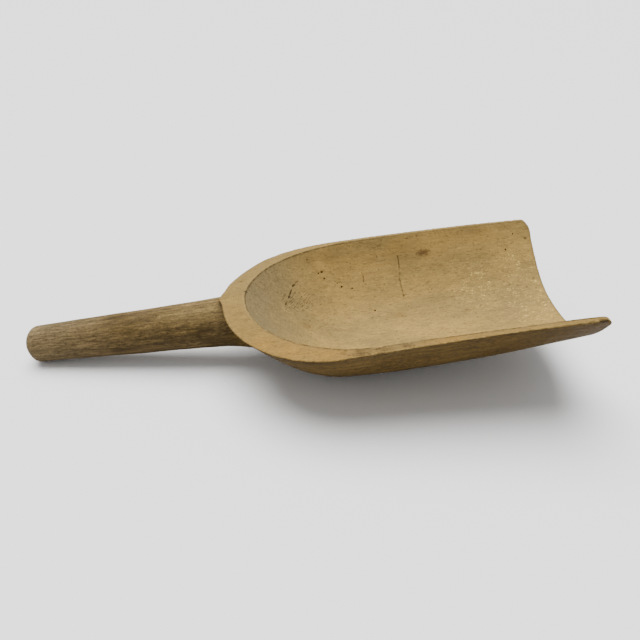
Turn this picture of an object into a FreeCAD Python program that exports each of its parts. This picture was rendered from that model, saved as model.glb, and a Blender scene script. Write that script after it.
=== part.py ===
import FreeCAD, Part
import math
import os

# Hand-carved wooden feed scoop: an open bowl and a tapered round handle, cut from one billet.
# It is carved in a frame of its own: X runs from the heel of the bowl (x = 0) to the mouth,
# Y is across, and z = 0 is the rim at the heel. At the end it is tipped on to the surface that
# it rests on: the belly and the end of the handle touch z = 0. All sizes are in millimetres.

# Plan of the bowl: a half-elliptic heel, then sides that draw in slightly towards the mouth.
# The neck carries the handle's top line on for a short way, to where the heel's rim starts.
BOWL_LENGTH = 242.0
HEEL_START = 2.5
HEEL_REACH = 79.0
WIDEST_HALF_WIDTH = 82.5
MOUTH_HALF_WIDTH = 76.5

# Depth below the rim: of the outside at the heel, at its deepest and at the mouth.
HEEL_DEPTH = 34.0
BELLY_DEPTH = 57.5
BELLY_AT = 129.5
MOUTH_DEPTH = 45.5
OUTSIDE_FULLNESS = 2.3

# The hollow starts behind a thick heel rim, and its walls thin out towards the mouth.
HEEL_RIM = 18.7
HOLLOW_REACH = 84.0
HOLLOW_HALF_WIDTH = 76.0
HOLLOW_MOUTH_HALF_WIDTH = 73.0
HOLLOW_HEEL_DEPTH = 44.0
HOLLOW_BELLY_DEPTH = 50.0
HOLLOW_MOUTH_DEPTH = 42.0
HOLLOW_FULLNESS = 2.4

# The top is crowned: it rises from the heel and falls off towards both sides.
CROWN_RISE = 0.088
CROWN_RADIUS_ALONG = 2500.0
CROWN_RADIUS_ACROSS = 370.0
MOUTH_CORNER_RADIUS = 8.0

# Handle: a hair below the rim at the heel, tapering to a domed end, and drooping slightly.
HANDLE_LENGTH = 143.3
SHOULDER_RADIUS = 18.0
END_RADIUS = 13.2
END_DOME = 8.5
HANDLE_DROOP = 2.8
HANDLE_STEP = 0.4
HANDLE_OVERRUN = 5.0

# Neck: the underside of the shoulder flares down and outwards until it is lost in the belly.
NECK_LENGTH = 66.0
NECK_SPREAD = 20.0
NECK_FALL = 14.0
NECK_SINK = 30.0
NECK_STATIONS = 7

# Resting on a surface, the belly has worn to a small flat.
WEAR = 0.9

# Construction: points along each edge of a free-form surface, points round a section and round
# the end dome, how far the surfaces run past the wood, and a size larger than the whole scoop.
SURFACE_STATIONS = 41
SECTION_POINTS = 16
DOME_STEPS = 6
OVERRUN = 6.0
CLEAR = 200.0

# The resting pitch is found by halving a range of angles.
STEEPEST_PITCH = 15.0
PITCH_HALVINGS = 14


def vec(x, y, z):
    return FreeCAD.Vector(x, y, z)


def crown_height(x, y_squared):
    """Height of the top of the bowl, crowned along and across."""
    along = CROWN_RISE * x - x * x / (2 * CROWN_RADIUS_ALONG)
    return along - y_squared / (2 * CROWN_RADIUS_ACROSS)


def top_height(x, y):
    return crown_height(x, y * y)


def side_half_width(x, shoulder, widest, mouth):
    """Half-width of the straight sides, drawing in from the shoulder to the mouth."""
    past = max(0.0, x - shoulder) / (BOWL_LENGTH - shoulder)
    return widest + (mouth - widest) * past


def depth_at(x, heel, belly, mouth):
    """Depth along the bowl: two half-parabolas that meet at the deepest place."""
    if x < BELLY_AT:
        share = (BELLY_AT - x) / BELLY_AT
        return belly + (heel - belly) * share ** 2
    share = (x - BELLY_AT) / (BOWL_LENGTH - BELLY_AT)
    return belly + (mouth - belly) * share ** 2


def carved_height(x, y, start, reach, widths, depths, fullness):
    """Height of a carved surface that meets the crowned top along its plan outline."""
    shoulder = start + reach
    side = side_half_width(x, shoulder, *widths)
    heelward = max(0.0, shoulder - x) / reach
    outwards = math.hypot(heelward, y / side)
    rim = crown_height(x, side * side * (1 - heelward ** 2))
    return rim - depth_at(x, *depths) * (1 - outwards ** fullness)


def outside_height(x, y):
    widths = (WIDEST_HALF_WIDTH, MOUTH_HALF_WIDTH)
    depths = (HEEL_DEPTH, BELLY_DEPTH, MOUTH_DEPTH)
    return carved_height(x, y, HEEL_START, HEEL_REACH, widths, depths, OUTSIDE_FULLNESS)


def hollow_height(x, y):
    widths = (HOLLOW_HALF_WIDTH, HOLLOW_MOUTH_HALF_WIDTH)
    depths = (HOLLOW_HEEL_DEPTH, HOLLOW_BELLY_DEPTH, HOLLOW_MOUTH_DEPTH)
    return carved_height(x, y, HEEL_RIM, HOLLOW_REACH, widths, depths, HOLLOW_FULLNESS)


def height_face(height, x_low, x_high, y_high):
    """Smooth face through a grid of heights over a rectangle centred on the X axis."""
    steps = SURFACE_STATIONS - 1
    rows = []
    for i in range(SURFACE_STATIONS):
        x = x_low + (x_high - x_low) * i / steps
        row = []
        for j in range(SURFACE_STATIONS):
            y = y_high * (2 * j / steps - 1)
            row.append(vec(x, y, height(x, y)))
        rows.append(row)
    surface = Part.BSplineSurface()
    surface.interpolate(rows)
    return surface.toShape()


def side_profile():
    """Everything behind the mouth, seen from the side, with the upper mouth corner rounded."""
    rim = top_height(BOWL_LENGTH - MOUTH_CORNER_RADIUS, HOLLOW_MOUTH_HALF_WIDTH)
    radius = MOUTH_CORNER_RADIUS
    corner = vec(BOWL_LENGTH - radius, -CLEAR, rim - radius)
    turn = radius * math.sqrt(0.5)
    front = vec(BOWL_LENGTH, -CLEAR, rim - radius)
    middle = corner + vec(turn, 0, turn)
    top = corner + vec(0, 0, radius)
    back_top = vec(-CLEAR, -CLEAR, CLEAR)
    back_low = vec(-CLEAR, -CLEAR, -CLEAR)
    front_low = vec(BOWL_LENGTH, -CLEAR, -CLEAR)
    edges = [
        Part.makeLine(front_low, front),
        Part.Arc(front, middle, top).toShape(),
        Part.makeLine(top, back_top),
        Part.makeLine(back_top, back_low),
        Part.makeLine(back_low, front_low),
    ]
    return Part.Face(Part.Wire(edges)).extrude(vec(0, 2 * CLEAR, 0))


def neck_section(share):
    """Ellipse across the neck, a share of the way from the shoulder to where the neck ends."""
    half_width = SHOULDER_RADIUS + NECK_SPREAD * share ** 2
    top = -HANDLE_STEP - NECK_SINK * share ** 1.5
    bottom = -HANDLE_STEP - 2 * SHOULDER_RADIUS - NECK_FALL * share ** 1.4
    half_height = (top - bottom) / 2
    centre = vec(NECK_LENGTH * share, 0, (top + bottom) / 2)
    points = []
    for step in range(SECTION_POINTS):
        turn = 2 * math.pi * step / SECTION_POINTS
        across = half_width * math.cos(turn)
        upward = half_height * math.sin(turn)
        points.append(centre + vec(0, across, upward))
    curve = Part.BSplineCurve()
    curve.interpolate(Points=points, PeriodicFlag=True)
    return Part.Wire([curve.toShape()])


def make_neck():
    shares = [i / (NECK_STATIONS - 1) for i in range(NECK_STATIONS)]
    return Part.makeLoft([neck_section(share) for share in shares], True, False)


def make_bowl():
    """Outside and neck, trimmed by the crowned top and the mouth, with the hollow cut out."""
    up = vec(0, 0, CLEAR)
    past_mouth = BOWL_LENGTH + OVERRUN
    wide = WIDEST_HALF_WIDTH + OVERRUN
    outside = height_face(outside_height, -OVERRUN, past_mouth, wide).extrude(up)
    under_top = height_face(top_height, -2 * OVERRUN, past_mouth + OVERRUN, wide + OVERRUN).extrude(-up)
    hollow = height_face(hollow_height, HEEL_RIM - OVERRUN, past_mouth + OVERRUN, wide).extrude(up)
    bowl = outside.fuse(make_neck())
    bowl = bowl.common(under_top)
    bowl = bowl.common(side_profile())
    return bowl.cut(hollow)


def handle_outline():
    """Half of the handle seen from above: a straight taper and a quarter-ellipse end."""
    waist = END_DOME - HANDLE_LENGTH
    dome_points = []
    for step in range(DOME_STEPS + 1):
        turn = math.pi / 2 * step / DOME_STEPS
        along = waist - END_DOME * math.sin(turn)
        dome_points.append(vec(along, END_RADIUS * math.cos(turn), 0))
    taper = (SHOULDER_RADIUS - END_RADIUS) / -waist
    dome = Part.BSplineCurve()
    dome.interpolate(
        Points=dome_points, InitialTangent=vec(-1, -taper, 0), FinalTangent=vec(0, -1, 0)
    )
    shoulder = vec(HANDLE_OVERRUN, SHOULDER_RADIUS + taper * HANDLE_OVERRUN, 0)
    middle = vec(HANDLE_OVERRUN, 0, 0)
    edges = [
        Part.makeLine(shoulder, dome_points[0]),
        dome.toShape(),
        Part.makeLine(dome_points[-1], middle),
        Part.makeLine(middle, shoulder),
    ]
    return Part.Face(Part.Wire(edges))


def make_handle():
    """Round taper whose straight axis droops towards the free end, cut off at the heel."""
    handle = handle_outline().revolve(vec(0, 0, 0), vec(1, 0, 0), 360)
    droop = math.degrees(math.atan2(HANDLE_DROOP, HANDLE_LENGTH))
    handle.rotate(vec(0, 0, 0), vec(0, 1, 0), -droop)
    handle.translate(vec(0, 0, -SHOULDER_RADIUS - HANDLE_STEP))
    behind_heel = Part.makeBox(CLEAR, 2 * CLEAR, 2 * CLEAR, vec(-CLEAR, -CLEAR, -CLEAR))
    return handle.common(behind_heel)


def tipped(shape, pitch):
    """Copy of a shape with the mouth raised by the given pitch about the heel."""
    copy = shape.copy()
    copy.rotate(vec(0, 0, 0), vec(0, 1, 0), -pitch)
    return copy


def lowest(shape):
    return shape.optimalBoundingBox(False).ZMin


def rest_pitch(bowl, handle):
    """Pitch at which the worn belly and the end of the handle stand on one level."""
    low, high = 0.0, STEEPEST_PITCH
    for _ in range(PITCH_HALVINGS):
        pitch = (low + high) / 2
        if lowest(tipped(handle, pitch)) > lowest(tipped(bowl, pitch)) + WEAR:
            low = pitch
        else:
            high = pitch
    return (low + high) / 2


def build():
    bowl = make_bowl()
    handle = make_handle()
    pitch = rest_pitch(bowl, handle)
    bowl = tipped(bowl, pitch)
    handle = tipped(handle, pitch)
    level = lowest(bowl) + WEAR
    above = Part.makeBox(4 * CLEAR, 2 * CLEAR, CLEAR, vec(-2 * CLEAR, -CLEAR, level))
    bowl = bowl.common(above)
    box = Part.makeCompound([bowl, handle]).optimalBoundingBox(False)
    shift = vec(-(box.XMin + box.XMax) / 2, 0, -level)
    bowl.translate(shift)
    handle.translate(shift)
    print("pitch", round(pitch, 3), "heel at x", round(shift.x, 3), "z", round(shift.z, 3))
    return {"bowl": bowl, "handle": handle}


def export(nodes):
    os.makedirs("parts", exist_ok=True)
    for name, shape in nodes.items():
        solid = shape.Solids[0]
        volume = round(solid.Volume / 1000, 1)
        print(name, "solids", len(shape.Solids), "valid", solid.isValid(), "cm3", volume)
        solid.exportStep("parts/" + name + ".step")


export(build())
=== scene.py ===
import math

import bmesh
import bpy
import numpy as np
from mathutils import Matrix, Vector, noise
from mathutils.bvhtree import BVHTree


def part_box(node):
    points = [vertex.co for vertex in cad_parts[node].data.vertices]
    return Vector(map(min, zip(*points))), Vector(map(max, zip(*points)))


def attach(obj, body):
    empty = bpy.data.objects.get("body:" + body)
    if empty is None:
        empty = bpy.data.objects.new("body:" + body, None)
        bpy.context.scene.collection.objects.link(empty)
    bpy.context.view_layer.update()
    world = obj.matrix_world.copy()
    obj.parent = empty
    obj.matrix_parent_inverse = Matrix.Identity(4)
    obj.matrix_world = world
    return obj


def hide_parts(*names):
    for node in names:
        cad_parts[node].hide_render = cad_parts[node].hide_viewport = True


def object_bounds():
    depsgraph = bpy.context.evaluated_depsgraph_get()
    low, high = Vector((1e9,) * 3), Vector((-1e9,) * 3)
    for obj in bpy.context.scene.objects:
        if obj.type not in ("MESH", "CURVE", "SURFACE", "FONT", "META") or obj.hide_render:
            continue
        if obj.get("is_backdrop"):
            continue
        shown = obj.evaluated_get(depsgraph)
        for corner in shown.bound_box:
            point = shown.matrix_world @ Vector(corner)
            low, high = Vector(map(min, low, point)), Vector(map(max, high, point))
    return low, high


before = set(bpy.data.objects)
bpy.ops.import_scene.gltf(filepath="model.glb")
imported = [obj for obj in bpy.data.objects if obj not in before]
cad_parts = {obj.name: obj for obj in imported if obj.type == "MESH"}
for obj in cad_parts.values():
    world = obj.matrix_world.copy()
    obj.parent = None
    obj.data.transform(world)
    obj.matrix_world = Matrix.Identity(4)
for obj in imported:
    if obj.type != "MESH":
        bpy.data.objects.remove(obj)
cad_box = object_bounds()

# Looks of the hand-carved feed scoop. Both CAD solids are joined into one dense wooden block, the
# marks of carving, wear and worms are cut into it, and it is parted again at the heel into the
# pieces bowl_wood and handle_wood. Places on the wood are given in the carving frame: millimetres
# from the heel, X along the rim towards the mouth, Y across, Z up from the rim at the heel.

MM = 0.001

# How far the rim leans as the scoop rests, the handle's top under the rim, and the mouth's place.
PITCH = math.radians(5.94)
HANDLE_STEP = 0.4 * MM
MOUTH_X = 242.0

# How far the real wood strays from the even shape of the solids, in millimetres.
FAR_HEEL_STRAIGHTENED = 3.0
HEEL_DRAWN_OUT = 2.2
MOUTH_SKEW = 2.4

# Heights of the uneven surface that the tools left, in millimetres.
LONG_WAVES = 0.30
SHORT_WAVES = 0.10
EDGE_WAVES = 0.12
WALL_STROKES = 0.22
HOLLOW_STROKES = 0.12
GRIP_STROKES = 0.22

# How the dense block is made. Lengths are in metres.
VOXEL = 0.8 * MM
MERGE = 1e-6
BOX_MARGIN = 1e-5
HEEL_CUT_REACH = 1e-7
SHARP_EDGE = math.radians(30)
EDGE_REACH = 0.65 * VOXEL
EDGE_ROUNDS = 4
EDGE_SOFTNESS = 0.35

# Faces within this many millimetres of the small marks are cut into finer ones.
REFINE_REACH = 2.6
REFINE_CUTS = 3

# Millimetres: more than any mark reaches, and the height over a mark at which the surface is
# another side of the wood.
FAR_AWAY = 99.0
OTHER_SIDE = 8.0

# Cracks and cuts inside the bowl, each a chain of places in the carving frame.
LONG_CRACK = [(134, 65, -13), (134, 61, -19), (134, 55, -26), (134, 47, -33), (135, 41, -38)]
SHORT_CRACK = [(104, 60, -22), (105, 57, -25), (105, 54, -28)]
GOUGE = [(53, 46, -17), (51, 43, -18), (49, 39, -19), (46, 30, -22)]
GOUGE_END = [(45, 26, -22), (43, 23, -23)]
SCRATCH = [(151, 46, -33), (155, 48, -30), (159, 51, -28)]

# Each with half its width, its depth and how dark it is.
LINE_CUTS = [
    (LONG_CRACK, 0.8, 0.4, 0.6),
    (SHORT_CRACK, 0.7, 0.4, 0.6),
    (GOUGE, 1.3, 0.7, 0.7),
    (GOUGE_END, 1.3, 0.5, 0.7),
    (SCRATCH, 0.6, 0.15, 0.35),
]

# A drying check in the mouth's edge, in the same form.
MOUTH_CHECK = ([(233, -76.4, 1.7), (237, -76, 0.8)], 1.3, 0.2, 0.75)

# Worm holes, of four sizes in turn.
WORM_HOLES = [
    (62, 62, -7), (70, 57, -18), (73, 58, -17), (74, 55, -22), (84, 54, -26),
    (96, 52, -31), (111, 34, -43), (220, 60, -15), (228, 67, -6), (87, 52, -29),
]
WORM_RADII = [0.56, 0.68, 0.80, 0.92]
WORM_DEPTH = 1.8
WORM_DARKNESS = 0.8

# Rows of short nicks beside the gouge: where they start, and how far they spread both ways.
NICKS_FROM = (42, 30, -17)
NICKS_ALONG = (20, 14, -10)
NICKS_DOWN = (3, -12, -8)
NICK_ROWS = 5
NICKS_PER_ROW = 9
NICK_HALF_WIDTH = 0.42
NICK_DEPTH = 0.2
NICK_DARKNESS = [0.25, 0.37, 0.49, 0.61]

# Chips in the rim and dark spots, each a place and a radius.
RIM_CHIPS = [
    ((14, 25, 0), 2.2), ((84, -77, -2), 2.5), ((93, -79, -2), 3.0), ((104, -77, -1), 2.5),
]
CHIP_DEPTH = 0.5
CHIP_DARKNESS = 0.25
DARK_SPOTS = [((237, 64, -9), 1.6), ((19, 5, 1), 1.6)]
SPOT_DEPTH = 0.3
SPOT_DARKNESS = 0.8

# Patches of colour, each a place and a radius.
KNOTS = [((154, 65, -13), 4.2)]
FAINT_STAINS = [
    ((137, 67, -12), 6.0), ((198, 70, -1), 4.0), ((80, 66, -9), 4.5), ((63, 63, -7), 3.0),
    ((14, 25, 0), 2.0), ((130, 28, -45), 3.0), ((180, 22, -44), 1.8), ((167, 57, -22), 1.8),
    ((57, 13, -37), 3.5),
]
WORN_RIM = [((94, -79, -2), 5.0), ((108, -79, -1), 5.0), ((120, -78, 0), 4.0)]
WARM_PATCHES = [
    ((75, -76, -2), 16.0), ((50, -70, -3), 14.0), ((33, -62, -2), 12.0), ((146, -78, 0), 12.0),
]
PALE_PATCHES = [((232, 20, -38), 26.0), ((225, 48, -26), 16.0), ((193, 40, -34), 18.0)]

# Colours of the wood, linear.
PALE_COOL = (0.238, 0.163, 0.056, 1)
PALE_WARM = (0.325, 0.212, 0.063, 1)
RIM_TAN = (0.218, 0.138, 0.037, 1)
HEEL_GREY = (0.195, 0.152, 0.076, 1)
WARM_TINT = (0.290, 0.155, 0.030, 1)
# Rubbed edges, partly a painted highlight.
EDGE_WORN_AND_HIGHLIGHT = (0.310, 0.215, 0.080, 1)
PALE_FLECK = (0.620, 0.440, 0.125, 1)
BROWN_DARK = (0.080, 0.052, 0.016, 1)
BROWN_LIGHT = (0.155, 0.103, 0.042, 1)
MOUTH_BROWN = (0.067, 0.038, 0.006, 1)
# The bowl's outside: its own weathered brown, made darker still as painted shade.
WALL_BROWN = (0.094, 0.059, 0.013, 1)
WALL_RED = (0.122, 0.070, 0.016, 1)
GRIP_END = (0.166, 0.119, 0.057, 1)
# Painted light on the top of the handle's shoulder.
LIT_SHOULDER_TAN = (0.175, 0.118, 0.043, 1)
PORE_BROWN = (0.060, 0.036, 0.012, 1)
# Pits, and painted shade under the rim and in the crease.
PIT_AND_SHADE_BROWN = (0.034, 0.020, 0.007, 1)
KNOT_BROWN = (0.105, 0.058, 0.018, 1)
HOLE_DARK = (0.018, 0.011, 0.005, 1)
SHEEN = 0.08
BUMP_DEPTH = 0.35 * MM

# Studio. The camera's target is in metres, from the middle of the footprint.
CAMERA_TARGET = Vector((0.0187, 0.0, 0.0298))
CAMERA_DISTANCE = 0.4322
CAMERA_AZIMUTH = math.radians(1.6)
CAMERA_ELEVATION = math.radians(31.9)
CAMERA_LENS = 33.75
SENSOR_WIDTH = 36.0
FLOOR_SIZE = 15
FLOOR_WHITE = (0.9, 0.9, 0.9, 1)
FLOOR_ROUGHNESS = 0.9
SKY_WHITE = (1, 1, 1, 1)
SKY_STRENGTH = 0.62
SUN_SPREAD = math.radians(60)
SUN_STRENGTH = 6.2
SUN_FROM = Vector((-0.15, 0.30, 1.0))


# ---------------------------------------------------------------- places and fields

def heel_point():
    """Origin of the carving frame: over the top of the handle's end face."""
    bowl_low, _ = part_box("bowl")
    _, handle_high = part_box("handle")
    lean = HANDLE_STEP * math.sin(PITCH)
    return np.array([bowl_low.x - lean, 0.0, handle_high.z + HANDLE_STEP * math.cos(PITCH)])


def turned(vectors, angle=PITCH):
    """Vectors turned about Y. By PITCH, they go from the row frame to the carving frame."""
    c, s = math.cos(angle), math.sin(angle)
    along = vectors[:, 0] * c + vectors[:, 2] * s
    upward = vectors[:, 2] * c - vectors[:, 0] * s
    return np.stack([along, vectors[:, 1], upward], axis=1)


def to_carving(points):
    """Points of the row frame, in metres, as places in the carving frame, in millimetres."""
    return turned((points - heel_point()) / MM)


def smooth(values, low, high):
    """0 below low, 1 above high, and a smooth step between them."""
    share = np.clip((values - low) / (high - low), 0.0, 1.0)
    return share * share * (3.0 - 2.0 * share)


def hump(values, middle, width):
    """1 at the middle, falling to about a third at one width from it."""
    return np.exp(-(((values - middle) / width) ** 2))


def noise_places(points, sizes, seed):
    """Where to read the noise so that it varies over the given sizes, differently for each seed."""
    return (points / np.array(sizes) + 31.7 * seed).tolist()


def field(points, sizes, seed):
    """Smooth random values, about -1 to 1, that vary over the given sizes along X, Y and Z."""
    return 1.6 * np.array([noise.noise(place) for place in noise_places(points, sizes, seed)])


def strokes(points, sizes, seed):
    """Shallow overlapping tool strokes: 0 on the ridges between them and 1 in their middles."""
    places = noise_places(points, sizes, seed)
    nearest = np.array([noise.voronoi(place)[0][:2] for place in places])
    return smooth(nearest[:, 1] - nearest[:, 0], 0.0, 0.7)


def wandering(places, step, size, seed):
    """The places, each moved a little, so that what is drawn straight turns out crooked."""
    moves = [field(places, (size, size, size), seed + axis) for axis in range(3)]
    return places + step * np.stack(moves, axis=1)


def off_axis(offsets, normals):
    """Length of each offset within the surface that the normals belong to."""
    lift = np.sum(offsets * normals, axis=1)
    flat = offsets - lift[:, None] * normals
    return np.where(np.abs(lift) < OTHER_SIDE, np.linalg.norm(flat, axis=1), FAR_AWAY)


def from_spot(points, normals, spot):
    """Distance over the surface to a spot."""
    return off_axis(points - np.array(spot, float), normals)


def from_line(points, normals, line):
    """Distance over the surface to a chain of straight runs."""
    nearest = np.full(len(points), FAR_AWAY)
    for start, end in zip(line[:-1], line[1:]):
        start = np.array(start, float)
        run = np.array(end, float) - start
        share = np.clip((points - start) @ run / (run @ run), 0.0, 1.0)
        distance = off_axis(points - start - share[:, None] * run, normals)
        nearest = np.minimum(nearest, distance)
    return nearest


def nick_lines():
    """Loose rows of short slanting nicks beside the gouge."""
    start, along, down = (np.array(v, float) for v in (NICKS_FROM, NICKS_ALONG, NICKS_DOWN))
    chance = np.random.default_rng(11)
    lines = []
    for row in range(NICK_ROWS):
        for place in range(NICKS_PER_ROW):
            across, deep, length, turn = chance.uniform(-1, 1, 4)
            middle = start + along * (place + 0.4 * across) / NICKS_PER_ROW
            middle = middle + down * (row + 0.4 * deep) / NICK_ROWS
            slant = (1 + 0.5 * length) * ((0.09 + 0.03 * turn) * along - 0.12 * down)
            lines.append([middle - slant / 2, middle + slant / 2])
    return lines


# ---------------------------------------------------------------- the block of wood

def vertex_places(mesh):
    flat = np.zeros(len(mesh.vertices) * 3)
    mesh.vertices.foreach_get("co", flat)
    return flat.reshape(-1, 3)


def vertex_normals(mesh):
    flat = np.zeros(len(mesh.vertices) * 3)
    mesh.vertex_normals.foreach_get("vector", flat)
    return flat.reshape(-1, 3)


def joined_nodes(*nodes):
    """CAD nodes as one mesh of joined-up triangles."""
    joined = bmesh.new()
    for node in nodes:
        joined.from_mesh(node.data)
    bmesh.ops.remove_doubles(joined, verts=joined.verts, dist=MERGE)
    return joined


def dense_block():
    """The joined solids as one closed skin of small even faces."""
    joined = joined_nodes(*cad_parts.values())
    mesh = bpy.data.meshes.new("block")
    joined.to_mesh(mesh)
    joined.free()
    block = bpy.data.objects.new("block", mesh)
    bpy.context.scene.collection.objects.link(block)
    remesh = block.modifiers.new("voxels", "REMESH")
    remesh.mode = "VOXEL"
    remesh.voxel_size = VOXEL
    relax = block.modifiers.new("relax", "SMOOTH")
    relax.factor = 0.5
    relax.iterations = 1
    graph = bpy.context.evaluated_depsgraph_get()
    dense = bpy.data.meshes.new_from_object(block.evaluated_get(graph))
    bpy.data.objects.remove(block)
    return dense


def regions_between_edges(solid):
    """The solid's faces, in groups that its sharp edges divide, the largest group first."""
    waiting = set(solid.faces)
    regions = []
    while waiting:
        region = [waiting.pop()]
        for face in region:
            for edge in face.edges:
                for other in edge.link_faces:
                    if other in waiting and edge.calc_face_angle(0.0) < SHARP_EDGE:
                        waiting.remove(other)
                        region.append(other)
        regions.append(region)
    return sorted(regions, key=lambda faces: -sum(face.calc_area() for face in faces))


def bowl_regions():
    """The bowl's three largest regions: its outside, its hollow, and its rim with the mouth edge."""
    bowl = joined_nodes(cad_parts["bowl"])
    corners = [vertex.co.copy() for vertex in bowl.verts]
    trees = []
    for region in regions_between_edges(bowl)[:3]:
        polygons = [[vertex.index for vertex in face.verts] for face in region]
        trees.append(BVHTree.FromPolygons(corners, polygons))
    bowl.free()
    return trees


def distances(points, tree):
    """Distance from each point to a region, in millimetres."""
    return np.array([tree.find_nearest(point)[3] for point in points.tolist()]) / MM


def sharpen(mesh, trees):
    """Draws the vertices beside the bowl's two long edges onto them, where the remesh left steps."""
    outside, hollow, rim = trees
    here = vertex_places(mesh)
    for side in (outside, hollow):
        apart = np.maximum(distances(here, side), distances(here, rim)) * MM
        for number in np.flatnonzero(apart < EDGE_REACH).tolist():
            start = place = Vector(here[number])
            for tree in (side, rim) * EDGE_ROUNDS:
                place = tree.find_nearest(place)[0]
            here[number] = place.lerp(start, EDGE_SOFTNESS)
    mesh.vertices.foreach_set("co", here.ravel())
    mesh.update()


def refine(mesh):
    """Finer faces round the small marks inside the bowl."""
    places = to_carving(vertex_places(mesh))
    normals = turned(vertex_normals(mesh))
    close = np.full(len(places), FAR_AWAY)
    for spot in WORM_HOLES:
        close = np.minimum(close, from_spot(places, normals, spot))
    for line in [cut[0] for cut in LINE_CUTS] + nick_lines():
        close = np.minimum(close, from_line(places, normals, line))
    chosen = close < REFINE_REACH
    fine = bmesh.new()
    fine.from_mesh(mesh)
    edges = [edge for edge in fine.edges if all(chosen[end.index] for end in edge.verts)]
    bmesh.ops.subdivide_edges(fine, edges=edges, cuts=REFINE_CUTS, use_grid_fill=True)
    fine.to_mesh(mesh)
    fine.free()


# ---------------------------------------------------------------- carving, wear and worms

def zones(mesh, trees):
    """Per vertex: where it is on the wood, and how far it is from the parts of the bowl's surface."""
    here = vertex_places(mesh)
    outside, hollow, rim = [distances(here, tree) for tree in trees]
    places = to_carving(here)
    zone = {
        "places": places,
        "normals": turned(vertex_normals(mesh)),
        "inner_edge": np.maximum(hollow, rim),
        "outer_edge": np.maximum(outside, rim),
        "from_hollow": np.minimum(hollow, 12.0),
        "from_rim": rim,
        "grip": smooth(-places[:, 0], 0.0, 1.5),
    }
    bowl = 1.0 - zone["grip"]
    zone["inside"] = bowl * smooth(np.minimum(rim, outside) - hollow, -0.3, 0.3)
    zone["rim"] = bowl * smooth(np.minimum(hollow, outside) - rim, -0.3, 0.3)
    zone["outside"] = np.clip(1.0 - zone["inside"] - zone["rim"], 0.0, 1.0)
    return zone


def carved_relief(zone):
    """Height of the hand-carved surface over the CAD surface, in millimetres."""
    places = zone["places"]
    relief = LONG_WAVES * field(places, (60, 45, 45), 1)
    relief += SHORT_WAVES * field(places, (20, 13, 13), 2)
    wall = zone["outside"] * (1 - zone["grip"]) * smooth(zone["outer_edge"], 0.5, 4.0)
    relief -= WALL_STROKES * wall * strokes(places, (75, 15, 15), 3)
    relief -= HOLLOW_STROKES * zone["inside"] * strokes(places, (45, 24, 24), 4)
    relief -= GRIP_STROKES * zone["grip"] * strokes(places, (62, 11, 11), 5)
    edge = np.minimum(zone["inner_edge"], zone["outer_edge"])
    relief += EDGE_WAVES * smooth(-edge, -2.5, 0.0) * field(places, (22, 12, 12), 6)
    return relief


class Marks:
    """Depth of the small marks at each vertex, in millimetres, and how dark they are."""

    def __init__(self, count):
        self.depth = np.zeros(count)
        self.dark = np.zeros(count)

    def cut(self, distance, half_width, deep, where, shade):
        """Adds a mark that is deepest in its middle and ends at its half width."""
        profile = where * smooth(-distance, -half_width, -0.35 * half_width)
        self.depth = np.maximum(self.depth, deep * profile)
        self.dark = np.maximum(self.dark, shade * profile)


def cut_marks(zone):
    """All the small marks: worm holes, cracks, cuts, nicks, the check, chips and spots."""
    normals, inside = zone["normals"], zone["inside"]
    places = wandering(zone["places"], step=0.7, size=5.0, seed=21)
    ragged = np.clip(0.75 + 0.6 * field(places, (3, 3, 3), 7), 0.15, 1.0)
    crumbled = 0.8 * field(places, (2, 2, 2), 8)
    marks = Marks(len(places))
    for number, spot in enumerate(WORM_HOLES):
        radius = WORM_RADII[number % len(WORM_RADII)]
        marks.cut(from_spot(places, normals, spot), radius, WORM_DEPTH, inside, WORM_DARKNESS)
    for line, half_width, deep, shade in LINE_CUTS:
        distance = from_line(places, normals, line)
        marks.cut(distance, half_width * ragged, deep, inside * ragged, shade)
    for number, line in enumerate(nick_lines()):
        shade = NICK_DARKNESS[number % len(NICK_DARKNESS)]
        distance = from_line(places, normals, line)
        marks.cut(distance, NICK_HALF_WIDTH, NICK_DEPTH, inside * ragged, shade)
    line, half_width, deep, shade = MOUTH_CHECK
    marks.cut(from_line(zone["places"], normals, line), half_width, deep, 1.0 - inside, shade)
    for spot, radius in RIM_CHIPS:
        distance = from_spot(places, normals, spot) + crumbled
        marks.cut(distance, radius, CHIP_DEPTH, 1.0 - zone["grip"], CHIP_DARKNESS)
    for spot, radius in DARK_SPOTS:
        marks.cut(from_spot(places, normals, spot), radius, SPOT_DEPTH, 1.0, SPOT_DARKNESS)
    return marks


def hand_made(places):
    """Moves from the even shape: a straighter far side of the heel, a heel drawn out over the
    handle's top, and a skewed mouth."""
    moves = np.zeros_like(places)
    along, across = places[:, 0], places[:, 1]
    heel = hump(along, 12.0, 12.0) * smooth(along, 0.0, 8.0)
    moves[:, 1] = -FAR_HEEL_STRAIGHTENED * heel * smooth(across, 8.0, 34.0)
    mouth = smooth(along, MOUTH_X - 52.0, MOUTH_X)
    moves[:, 0] = -MOUTH_SKEW * smooth(across, -40.0, 70.0) * mouth
    tip = hump(across, 1.0, 8.0) * smooth(-along, -24.0, -2.5)
    moves[:, 0] -= HEEL_DRAWN_OUT * tip * np.clip(along / 2.5, 0.0, 1.0)
    return moves


def patches(zone, spots, stretch=1.0):
    """Soft patches round the given places, each with its own radius, longer along the grain."""
    amount = np.zeros(len(zone["places"]))
    for spot, radius in spots:
        offsets = (zone["places"] - np.array(spot, float)) / (radius * stretch, radius, radius)
        amount = np.maximum(amount, np.exp(-np.sum(offsets * offsets, axis=1)))
    return amount


def inner_edge_line(zone):
    """A dark line in the angle under the rim's inner edge, and along that edge on the near side."""
    along, across = zone["places"][:, 0], zone["places"][:, 1]
    toward_heel = smooth(-along, -150.0, -60.0)
    below_edge = hump(zone["from_rim"], 0.5, 0.8) * zone["inside"] * (0.45 + 0.55 * toward_heel)
    near = smooth(-across, 20.0, 60.0)
    return below_edge + near * hump(zone["inner_edge"], 0.4, 0.7) * zone["rim"]


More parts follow.
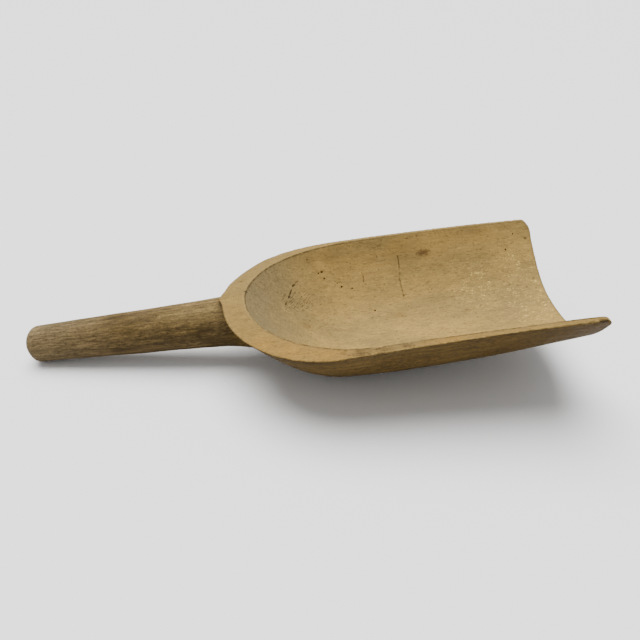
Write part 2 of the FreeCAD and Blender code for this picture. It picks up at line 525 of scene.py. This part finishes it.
def wood_values(zone, dark):
    """What the wood's shader needs to know at each vertex."""
    upward = zone["normals"][:, 2]
    along, across = zone["places"][:, 0], zone["places"][:, 1]
    from_rim, inside, grip = zone["from_rim"], zone["inside"], zone["grip"]
    edge = np.minimum(zone["inner_edge"], zone["outer_edge"])
    light = inside + zone["rim"]
    skin = 1.0 - light
    wall = skin * (1.0 - grip)
    far_heel = zone["rim"] * smooth(-along, -60.0, -10.0) * smooth(across, -25.0, 25.0)
    # Painted light: the handle's shoulder is lighter where its top faces up.
    lit_shoulder_top = skin * smooth(along, -60.0, -5.0) * smooth(-along, -6.0, -3.0)
    nose = skin * smooth(along, -1.6, -0.2) * hump(across, 2.0, 8.0)
    # Painted shadow on the near side, where the handle meets the overhanging rim at the heel.
    crease_shadow = skin * np.exp(-np.maximum(from_rim - 0.8, 0.0) / 1.6)
    belly_front = smooth(along, 15.0, 45.0) * smooth(-along, -95.0, -50.0)
    # Painted shade on the bowl's outside: darker under the rim's outer edge and on the belly near the
    # heel.
    painted_wall_shade = wall * (np.exp(-from_rim / 9.0) + 0.6 * belly_front)
    return {
        "light": light,
        "top": smooth(upward, -0.5, 0.9),
        "rim": np.maximum(zone["rim"], nose * smooth(upward, 0.5, 0.9)),
        "edge": np.exp(-edge / 0.8) * (1 - grip) * (0.15 + 0.85 * light),
        "from_hollow": zone["from_hollow"],
        "line": inner_edge_line(zone),
        "wall": wall * smooth(along, 0.0, 14.0),
        "mouth_end": smooth(along, 120.0, 240.0) * skin,
        "lit_shoulder_top": lit_shoulder_top * smooth(upward, 0.35, 0.95),
        "grip_end": smooth(-along, 60.0, 140.0) * grip,
        "crease_shadow": crease_shadow * smooth(-along, -125.0, -55.0) * smooth(-across, -4.0, 4.0),
        "painted_wall_shade": np.minimum(painted_wall_shade, 1.2),
        "cool": smooth(-along, -75.0, -22.0) * inside + 0.2 * far_heel,
        "warm": patches(zone, WARM_PATCHES) * light,
        "pale": patches(zone, PALE_PATCHES) * inside,
        "knot": patches(zone, KNOTS, 1.9) * inside,
        "faint": patches(zone, FAINT_STAINS, 1.6) * light,
        "worn": patches(zone, WORN_RIM, 2.5) * (1 - inside),
        "dark": dark,
    }


def keep_values(mesh, zone, values):
    """Stores the shader's values as attributes of the mesh, with each vertex's place on the wood."""
    for name, amounts in values.items():
        layer = mesh.attributes.new(name, "FLOAT", "POINT")
        layer.data.foreach_set("value", np.ascontiguousarray(amounts, dtype=np.float32))
    layer = mesh.attributes.new("wood_place", "FLOAT_VECTOR", "POINT")
    places = np.ascontiguousarray(zone["places"], dtype=np.float32)
    layer.data.foreach_set("vector", places.ravel())


def carve(mesh, trees):
    """Cuts all the relief into the block and keeps it within the CAD box."""
    zone = zones(mesh, trees)
    marks = cut_marks(zone)
    relief = carved_relief(zone) - marks.depth
    here = vertex_places(mesh)
    moves = turned(hand_made(zone["places"]), -PITCH)
    here += (vertex_normals(mesh) * relief[:, None] + moves) * MM
    low, high = cad_box
    here = np.clip(here, np.array(low) + BOX_MARGIN, np.array(high) - BOX_MARGIN)
    mesh.vertices.foreach_set("co", here.ravel())
    keep_values(mesh, zone, wood_values(zone, marks.dark))
    mesh.update()


# ---------------------------------------------------------------- wood

class Nodes:
    """Short calls for building one material's nodes."""

    def __init__(self, name):
        self.material = bpy.data.materials.new(name)
        self.material.use_nodes = True
        self.tree = self.material.node_tree
        self.shader = self.tree.nodes["Principled BSDF"]

    def add(self, kind, inputs, **settings):
        node = self.tree.nodes.new(kind)
        for name, value in settings.items():
            setattr(node, name, value)
        for key, value in inputs.items():
            self.feed(node.inputs[key], value)
        return node

    def feed(self, socket, value):
        if isinstance(value, bpy.types.NodeSocket):
            self.tree.links.new(value, socket)
        else:
            socket.default_value = value

    def attribute(self, name, output="Fac"):
        return self.add("ShaderNodeAttribute", {}, attribute_name=name).outputs[output]

    def part(self, name, share):
        """A share of one of the mesh's attributes."""
        return self.times(self.attribute(name), share)

    def noise(self, sizes, detail=3.0, rough=0.55, twist=0.0):
        """Noise that varies over the given sizes, in millimetres along X, Y and Z of the wood."""
        place = self.attribute("wood_place", "Vector")
        scale = tuple(1.0 / size for size in sizes)
        place = self.add("ShaderNodeMapping", {"Vector": place, "Scale": scale}).outputs[0]
        inputs = {
            "Vector": place, "Scale": 1.0, "Detail": detail,
            "Roughness": rough, "Distortion": twist,
        }
        return self.add("ShaderNodeTexNoise", inputs).outputs["Fac"]

    def step(self, value, low, high, to_low=0.0, to_high=1.0):
        """A smooth step from one number to another, as the value goes from low to high."""
        inputs = {
            "Value": value, "From Min": low, "From Max": high, "To Min": to_low, "To Max": to_high,
        }
        made = self.add("ShaderNodeMapRange", inputs, interpolation_type="SMOOTHSTEP")
        return made.outputs["Result"]

    def math(self, operation, first, second=0.0):
        return self.add("ShaderNodeMath", {0: first, 1: second}, operation=operation).outputs[0]

    def times(self, first, second):
        return self.math("MULTIPLY", first, second)

    def plus(self, first, second):
        return self.math("ADD", first, second)

    def minus(self, first, second):
        return self.math("SUBTRACT", first, second)

    def most(self, first, second):
        return self.math("MAXIMUM", first, second)

    def between(self, amount, first, second):
        """A number between two others."""
        made = self.add("ShaderNodeMix", {0: amount, 2: first, 3: second}, data_type="FLOAT")
        return made.outputs[0]

    def mix(self, amount, first, second, blend="MIX"):
        """A colour between two others."""
        inputs = {0: amount, 6: first, 7: second}
        made = self.add("ShaderNodeMix", inputs, data_type="RGBA", blend_type=blend)
        return made.outputs[2]

    def tint(self, colour, name, share, other):
        """The colour drawn towards another by a share of an attribute."""
        return self.mix(self.part(name, share), colour, other)

    def shaded(self, colour, shade):
        """The colour made darker or lighter by a factor."""
        grey = self.add("ShaderNodeCombineColor", {0: shade, 1: shade, 2: shade}).outputs[0]
        return self.mix(1.0, colour, grey, "MULTIPLY")


def grain_patterns(n):
    """The wood's random patterns, from broad blotches down to grit."""
    return {
        "blotches": n.noise((46, 24, 24), detail=3, rough=0.6),
        "smears": n.noise((22, 6, 6), detail=4, rough=0.65),
        "streaks": n.noise((50, 2.6, 2.6), detail=5, rough=0.62, twist=0.4),
        "rows": n.noise((38, 4.2, 4.2), detail=2, rough=0.6),
        "fibres": n.noise((12, 1.1, 1.1), detail=3, rough=0.65),
        "mottle": n.noise((6, 3.2, 3.2), detail=5, rough=0.7),
        "pores": n.noise((3.4, 1.1, 1.1), detail=2, rough=0.5),
        "specks": n.noise((2.2, 1.8, 1.8), detail=0),
        "flecks": n.noise((1.7, 1.5, 1.5), detail=2),
        "grit": n.noise((1.7, 1.1, 1.1), detail=2, rough=0.6),
    }


def wood_colour(n, grain):
    """Pale inside the bowl and on the rim, brown outside and on the handle."""
    blotches = grain["blotches"]
    pale = n.mix(n.step(blotches, 0.3, 0.7), PALE_COOL, PALE_WARM)
    wall = n.mix(n.step(grain["smears"], 0.35, 0.65), WALL_BROWN, WALL_RED)
    brown = n.mix(n.step(blotches, 0.32, 0.68), BROWN_DARK, BROWN_LIGHT)
    brown = n.tint(brown, "grip_end", 1.0, GRIP_END)
    # The bowl's outside: its own weathered brown, partly painted shade.
    brown = n.tint(brown, "wall", 0.75, wall)
    brown = n.tint(brown, "mouth_end", 0.7, MOUTH_BROWN)
    # Painted light on the top of the handle's shoulder.
    brown = n.tint(brown, "lit_shoulder_top", 1.0, LIT_SHOULDER_TAN)
    colour = n.mix(n.attribute("light"), brown, pale)
    colour = n.tint(colour, "rim", 0.85, RIM_TAN)
    colour = n.tint(colour, "cool", 0.8, HEEL_GREY)
    return n.tint(colour, "warm", 0.55, WARM_TINT)


def grain_shade(n, grain):
    """Light and dark of the grain, strong on the handle, with painted shade that makes the handle
    darker underneath.
    """
    light = n.attribute("light")
    streaks, fibres, grit = grain["streaks"], grain["fibres"], grain["grit"]
    strong_streaks = n.step(streaks, 0.30, 0.70, 0.72, 1.27)
    strong_fibres = n.step(fibres, 0.30, 0.70, 0.68, 1.28)
    strong_grit = n.step(grit, 0.28, 0.72, 0.72, 1.26)
    faint_streaks = n.step(streaks, 0.25, 0.75, 0.92, 1.07)
    faint_fibres = n.step(fibres, 0.25, 0.75, 0.92, 1.07)
    faint_grit = n.step(grit, 0.25, 0.75, 0.88, 1.12)
    strong = n.times(strong_streaks, strong_fibres)
    faint = n.times(faint_streaks, faint_fibres)
    shade = n.between(n.most(light, n.part("wall", 0.55)), strong, faint)
    shade = n.times(shade, n.between(light, strong_grit, faint_grit))
    shade = n.times(shade, n.step(grain["mottle"], 0.28, 0.72, 0.88, 1.11))
    # Painted shade: brown wood that faces down is darker, fully on the handle and only a little on
    # the bowl's outside.
    painted_underside_shade = n.step(n.attribute("top"), 0.0, 0.75, 0.66, 1.0)
    return n.times(shade, n.most(painted_underside_shade, n.most(light, n.part("wall", 0.92))))


def with_wear(n, grain, colour):
    """Rings on the rim, pale flecks, rubbed edges with a painted highlight, a dark line at the inner
    edge, painted shade under the rim and in the crease, and the worn near rim.
    """
    mottle = grain["mottle"]
    rings = n.math("SINE", n.part("from_hollow", 3.9))
    rings = n.times(rings, n.times(n.attribute("rim"), n.step(mottle, 0.45, 0.65, 0.0, 0.08)))
    colour = n.shaded(colour, n.minus(1.0, rings))
    flecks = n.times(n.step(grain["flecks"], 0.56, 0.64), n.step(mottle, 0.45, 0.57))
    pale = n.times(n.attribute("pale"), n.plus(flecks, 0.03))
    colour = n.mix(pale, colour, PALE_FLECK)
    # Painted highlight along the rubbed edges.
    colour = n.tint(colour, "edge", 0.45, EDGE_WORN_AND_HIGHLIGHT)
    broken_line = n.times(n.part("line", 0.95), n.step(mottle, 0.38, 0.58, 0.35, 1.0))
    colour = n.mix(broken_line, colour, PIT_AND_SHADE_BROWN)
    # Painted shade under the rim's outer edge and on the belly near the heel.
    colour = n.tint(colour, "painted_wall_shade", 0.42, PIT_AND_SHADE_BROWN)
    # Painted shadow in the crease under the heel's near edge.
    colour = n.tint(colour, "crease_shadow", 0.9, PIT_AND_SHADE_BROWN)
    colour = n.tint(colour, "worn", 0.3, BROWN_LIGHT)
    pitted = n.times(n.plus(grain["fibres"], grain["grit"]), 0.9)
    pitted = n.step(n.plus(n.part("worn", 0.8), pitted), 1.45, 1.75, 0.0, 0.7)
    return n.mix(pitted, colour, PORE_BROWN)


def open_pores(n, grain):
    """How open the pores are, and the deeper pits that lie in rows along the brown wood."""
    pores = n.step(grain["pores"], 0.58, 0.67)
    turned_up = n.step(n.attribute("top"), 0.97, 0.80, 0.35, 1.0)
    brown = n.minus(n.minus(1.0, n.attribute("light")), n.part("grip_end", 0.5))
    rows = n.times(n.times(n.step(grain["rows"], 0.38, 0.56), turned_up), brown)
    pits = n.times(n.step(n.plus(grain["pores"], grain["grit"]), 0.96, 1.10), rows)
    return pores, pits


def with_marks(n, grain, colour, pores, pits):
    """Pores, pits and specks, the knot, faint stains, and the dark floors of holes and cracks."""
    specks = n.times(n.step(grain["specks"], 0.74, 0.79), n.part("light", 0.4))
    colour = n.mix(specks, colour, PORE_BROWN)
    colour = n.mix(n.times(pores, 0.3), colour, PORE_BROWN)
    colour = n.mix(n.times(pits, 0.75), colour, PIT_AND_SHADE_BROWN)
    speckle = n.plus(n.times(grain["mottle"], 1.4), n.times(grain["grit"], 1.2))
    stain = n.step(n.plus(n.attribute("knot"), speckle), 1.75, 2.20, 0.0, 0.9)
    colour = n.mix(stain, colour, KNOT_BROWN)
    faint = n.times(n.attribute("faint"), n.step(speckle, 1.15, 1.55, 0.1, 0.6))
    colour = n.mix(faint, colour, KNOT_BROWN)
    return n.tint(colour, "dark", 1.0, HOLE_DARK)


def grain_height(n, grain, pores, pits):
    """Height of the grain, for the bump."""
    height = n.plus(n.times(grain["fibres"], 0.35), n.times(grain["streaks"], 0.5))
    height = n.plus(height, n.times(grain["grit"], 0.15))
    height = n.minus(height, n.times(pores, 0.25))
    return n.minus(height, n.times(pits, 0.5))


def wood(name):
    """Old bare wood: pale and dry where it is worn smooth, brown and open-grained outside."""
    n = Nodes(name)
    grain = grain_patterns(n)
    pores, pits = open_pores(n, grain)
    colour = n.shaded(wood_colour(n, grain), grain_shade(n, grain))
    colour = with_wear(n, grain, colour)
    colour = with_marks(n, grain, colour, pores, pits)
    height = grain_height(n, grain, pores, pits)
    bump = n.add("ShaderNodeBump", {"Strength": 0.6, "Distance": BUMP_DEPTH, "Height": height})
    n.feed(n.shader.inputs["Base Color"], colour)
    n.feed(n.shader.inputs["Roughness"], n.step(grain["mottle"], 0.3, 0.7, 0.60, 0.80))
    n.feed(n.shader.inputs["Specular IOR Level"], SHEEN)
    n.feed(n.shader.inputs["Normal"], bump.outputs[0])
    return n.material


# ---------------------------------------------------------------- the two pieces

def part_at_heel(mesh, name, node, behind):
    """The wood on one side of the heel plane, closed with a flat end, standing for its CAD node."""
    half = bmesh.new()
    half.from_mesh(mesh)
    cut = bmesh.ops.bisect_plane(
        half, geom=half.verts[:] + half.edges[:] + half.faces[:], dist=HEEL_CUT_REACH,
        plane_co=Vector(heel_point()), plane_no=Vector((math.cos(PITCH), 0.0, math.sin(PITCH))),
        clear_outer=behind, clear_inner=not behind,
    )
    for face in half.faces:
        face.smooth = True
    rim = [item for item in cut["geom_cut"] if isinstance(item, bmesh.types.BMEdge)]
    for edge in rim:
        edge.smooth = False
    bmesh.ops.edgeloop_fill(half, edges=rim)
    bmesh.ops.recalc_face_normals(half, faces=half.faces)
    piece_mesh = bpy.data.meshes.new(name)
    half.to_mesh(piece_mesh)
    half.free()
    piece = bpy.data.objects.new(name, piece_mesh)
    bpy.context.scene.collection.objects.link(piece)
    piece_mesh.materials.append(wood(name))
    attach(piece, "root")
    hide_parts(node)


def make_scoop():
    mesh = dense_block()
    trees = bowl_regions()
    sharpen(mesh, trees)
    refine(mesh)
    carve(mesh, trees)
    part_at_heel(mesh, "bowl_wood", "bowl", behind=False)
    part_at_heel(mesh, "handle_wood", "handle", behind=True)


# ---------------------------------------------------------------- studio

def add_floor():
    grid = bmesh.new()
    bmesh.ops.create_grid(grid, x_segments=1, y_segments=1, size=FLOOR_SIZE)
    mesh = bpy.data.meshes.new("floor")
    grid.to_mesh(mesh)
    grid.free()
    floor = bpy.data.objects.new("floor", mesh)
    bpy.context.scene.collection.objects.link(floor)
    n = Nodes("floor")
    n.feed(n.shader.inputs["Base Color"], FLOOR_WHITE)
    n.feed(n.shader.inputs["Roughness"], FLOOR_ROUGHNESS)
    mesh.materials.append(n.material)
    floor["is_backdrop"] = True


def add_light():
    """A white sky and one broad overhead light."""
    world = bpy.data.worlds.new("studio")
    world.use_nodes = True
    sky = world.node_tree.nodes["Background"]
    sky.inputs["Color"].default_value = SKY_WHITE
    sky.inputs["Strength"].default_value = SKY_STRENGTH
    bpy.context.scene.world = world
    sun = bpy.data.lights.new("overhead", "SUN")
    sun.angle = SUN_SPREAD
    sun.energy = SUN_STRENGTH
    lamp = bpy.data.objects.new("overhead", sun)
    lamp.rotation_euler = SUN_FROM.to_track_quat("Z", "Y").to_euler()
    bpy.context.scene.collection.objects.link(lamp)


def add_camera():
    lens = bpy.data.cameras.new("camera")
    lens.sensor_width = SENSOR_WIDTH
    lens.lens = CAMERA_LENS
    lens.clip_start = 0.01
    camera = bpy.data.objects.new("camera", lens)
    level = math.cos(CAMERA_ELEVATION)
    back = Vector((
        -math.sin(CAMERA_AZIMUTH) * level,
        -math.cos(CAMERA_AZIMUTH) * level,
        math.sin(CAMERA_ELEVATION),
    ))
    camera.location = CAMERA_TARGET + CAMERA_DISTANCE * back
    camera.rotation_euler = back.to_track_quat("Z", "Y").to_euler()
    bpy.context.scene.collection.objects.link(camera)
    bpy.context.scene.camera = camera


def save_sizes():
    """Lists the corners of the CAD box and of the visual model's box."""
    boxes = {"cad": cad_box, "visual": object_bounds()}
    boxes = {name: [list(corner) for corner in box] for name, box in boxes.items()}


make_scoop()
add_floor()
add_light()
add_camera()
save_sizes()
